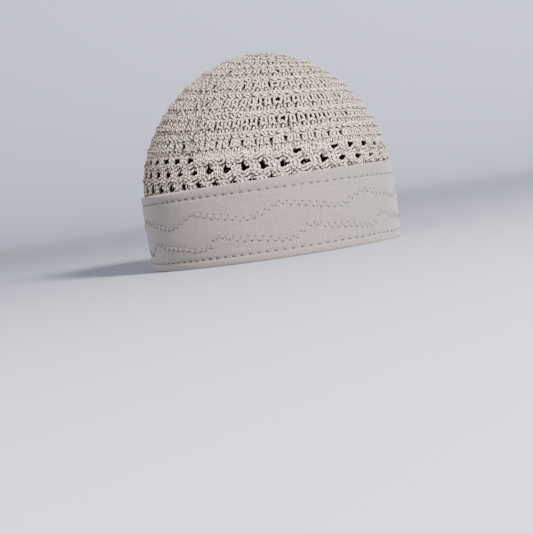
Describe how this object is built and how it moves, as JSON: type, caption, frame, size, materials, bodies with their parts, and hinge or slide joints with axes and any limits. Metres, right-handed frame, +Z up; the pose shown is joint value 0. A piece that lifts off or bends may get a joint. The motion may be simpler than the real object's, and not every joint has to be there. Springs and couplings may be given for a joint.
{
  "type": "kufi cap",
  "caption": "Brimless skull cap: a crocheted dome with rounds of open eyelets above a smooth, flared band of doubled cloth.",
  "frame": {"origin": "middle of the cap's box, on the plane that the band's lower fold stands on", "axes": "+Z up to the crown's tip, -Y to the front of the cap, +X to the wearer's left"},
  "size_m": [0.1778, 0.1958, 0.1493],
  "materials": {
    "band_cloth": "matte plain-woven cotton in a warm grey, doubled and stiffened, with stitched lines",
    "crown_yarn": "crocheted smooth cotton yarn in a light warm grey with a slight lustre"
  },
  "bodies": {
    "root": {"band": "band_cloth", "crown": "crown_yarn"}
  },
  "joints": []
}
